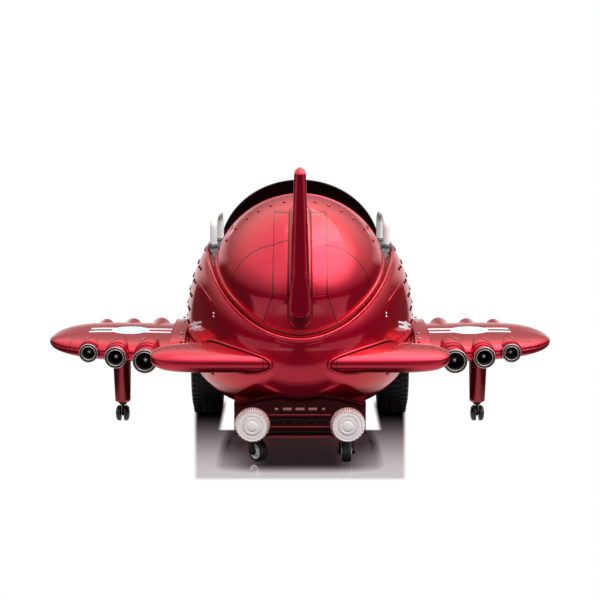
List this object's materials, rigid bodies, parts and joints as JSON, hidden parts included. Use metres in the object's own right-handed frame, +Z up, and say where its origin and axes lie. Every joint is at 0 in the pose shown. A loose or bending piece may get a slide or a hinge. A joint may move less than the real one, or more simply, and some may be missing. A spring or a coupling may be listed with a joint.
{
  "type": "electric ride-on toy airplane",
  "caption": "Red ride-on toy airplane for a child, with driven front wheels, steering by joysticks, rear and wing casters, tail lamps and a turning propeller.",
  "frame": {"origin": "on the ground under the middle of the bounding box", "axes": "+Y towards the nose, +Z up, +X towards the starboard wing"},
  "size_m": [1.26, 1.12, 0.68],
  "materials": {
    "body_red": "glossy metallic red",
    "trim_red": "glossy dark red",
    "black_gloss": "glossy black",
    "black_matte": "satin black",
    "grey_matte": "fine grained dark grey",
    "webbing": "woven black webbing",
    "pearl_plastic": "pearl white",
    "silver_trim": "plated silver",
    "lens": "clear and frosted",
    "steel": "plain steel",
    "tyre_black": "moulded plastic with a traction band",
    "green_button": "glossy green",
    "yellow_button": "glossy yellow"
  },
  "bodies": {
    "airframe": {"lower_hull": "body_red", "chassis_pan": "grey_matte", "wheel_liners": "black_matte", "front_hood": "body_red", "tail_deck": "body_red", "nose_cowl": "body_red", "engine_face": "black_matte", "propeller_motor": "steel", "windshield": "black_gloss", "dashboard": "grey_matte", "cockpit_tub": "grey_matte", "rear_bulkhead": "black_gloss", "seat": "black_matte", "lap_belt": "webbing", "belt_buckle": "black_matte", "left_grab_handle": "pearl_plastic", "right_grab_handle": "pearl_plastic", "left_wing": "body_red", "right_wing": "body_red", "wing_roots": "body_red", "nozzle_rings": "silver_trim", "nozzle_cores": "black_matte", "wing_legs": "body_red", "left_stabilizer": "body_red", "right_stabilizer": "body_red", "tail_fin": "body_red", "fin_fairing": "trim_red", "rear_bumper": "trim_red", "bumper_grille": "black_matte", "lamp_housings": "black_gloss", "lamp_lenses": "lens", "front_axle": "steel", "drive_gearboxes": "grey_matte", "drive_motors": "steel", "battery": "grey_matte", "control_unit": "black_matte", "joystick_bases": "grey_matte", "charging_socket": "black_matte", "body_screws": "steel"},
    "left_front_wheel": {"left_front_tyre": "tyre_black", "left_front_rim": "silver_trim"},
    "right_front_wheel": {"right_front_tyre": "tyre_black", "right_front_rim": "silver_trim"},
    "left_rear_caster": {"left_rear_fork": "black_matte"},
    "left_rear_caster_wheel": {"left_rear_wheel": "black_matte"},
    "left_wing_caster": {"left_wing_fork": "black_matte"},
    "left_wing_caster_wheels": {"left_wing_wheels": "black_matte"},
    "left_stick": {"left_joystick": "black_matte"},
    "right_rear_caster": {"right_rear_fork": "black_matte"},
    "right_rear_caster_wheel": {"right_rear_wheel": "black_matte"},
    "right_wing_caster": {"right_wing_fork": "black_matte"},
    "right_wing_caster_wheels": {"right_wing_wheels": "black_matte"},
    "right_stick": {"right_joystick": "black_matte"},
    "propeller_unit": {"propeller": "black_gloss", "spinner": "silver_trim"},
    "start_key": {"start_button": "green_button"},
    "horn_key": {"horn_button": "yellow_button"},
    "power_rocker": {"power_switch": "black_matte"}
  },
  "joints": [
    {"name": "left_front_wheel_spin", "type": "hinge", "parent": "airframe", "child": "left_front_wheel", "pos_m": [-0.239, -0.02, 0.12], "axis": [1, 0, 0], "continuous": true},
    {"name": "left_rear_caster_swivel", "type": "hinge", "parent": "airframe", "child": "left_rear_caster", "pos_m": [-0.107, -0.462, 0.09], "axis": [0, 0, 1], "continuous": true},
    {"name": "left_rear_caster_wheel_spin", "type": "hinge", "parent": "left_rear_caster", "child": "left_rear_caster_wheel", "pos_m": [-0.09671, -0.47426, 0.025], "axis": [0.766, 0.6428, 0], "continuous": true},
    {"name": "left_wing_caster_swivel", "type": "hinge", "parent": "airframe", "child": "left_wing_caster", "pos_m": [-0.45, -0.13, 0.07], "axis": [0, 0, 1], "continuous": true},
    {"name": "left_wing_caster_spin", "type": "hinge", "parent": "left_wing_caster", "child": "left_wing_caster_wheels", "pos_m": [-0.45, -0.137, 0.026], "axis": [1, 0, 0], "continuous": true},
    {"name": "left_stick_tilt", "type": "hinge", "parent": "airframe", "child": "left_stick", "pos_m": [-0.148, 0.048, 0.354], "axis": [1, 0, 0], "range_deg": [-18, 18], "stiffness_Nm_per_rad": 0.6},
    {"name": "right_front_wheel_spin", "type": "hinge", "parent": "airframe", "child": "right_front_wheel", "pos_m": [0.239, -0.02, 0.12], "axis": [1, 0, 0], "continuous": true},
    {"name": "right_rear_caster_swivel", "type": "hinge", "parent": "airframe", "child": "right_rear_caster", "pos_m": [0.107, -0.462, 0.09], "axis": [0, 0, 1], "continuous": true},
    {"name": "right_rear_caster_wheel_spin", "type": "hinge", "parent": "right_rear_caster", "child": "right_rear_caster_wheel", "pos_m": [0.107, -0.478, 0.025], "axis": [1, 0, 0], "continuous": true},
    {"name": "right_wing_caster_swivel", "type": "hinge", "parent": "airframe", "child": "right_wing_caster", "pos_m": [0.45, -0.13, 0.07], "axis": [0, 0, 1], "continuous": true},
    {"name": "right_wing_caster_spin", "type": "hinge", "parent": "right_wing_caster", "child": "right_wing_caster_wheels", "pos_m": [0.45, -0.137, 0.026], "axis": [1, 0, 0], "continuous": true},
    {"name": "right_stick_tilt", "type": "hinge", "parent": "airframe", "child": "right_stick", "pos_m": [0.148, 0.048, 0.354], "axis": [1, 0, 0], "range_deg": [-18, 18], "stiffness_Nm_per_rad": 0.6},
    {"name": "propeller_spin", "type": "hinge", "parent": "airframe", "child": "propeller_unit", "pos_m": [0, 0.488, 0.271], "axis": [0, 1, 0], "continuous": true},
    {"name": "start_key_press", "type": "slide", "parent": "airframe", "child": "start_key", "axis": [0, 1, 0], "range_m": [0, 0.003], "stiffness_N_per_m": 300, "springref_m": -0.001},
    {"name": "horn_key_press", "type": "slide", "parent": "airframe", "child": "horn_key", "axis": [0, 1, 0], "range_m": [0, 0.003], "stiffness_N_per_m": 300, "springref_m": -0.001},
    {"name": "power_rocker_tilt", "type": "hinge", "parent": "airframe", "child": "power_rocker", "pos_m": [0, 0.114, 0.404], "axis": [1, 0, 0], "range_deg": [-8, 8]}
  ]
}
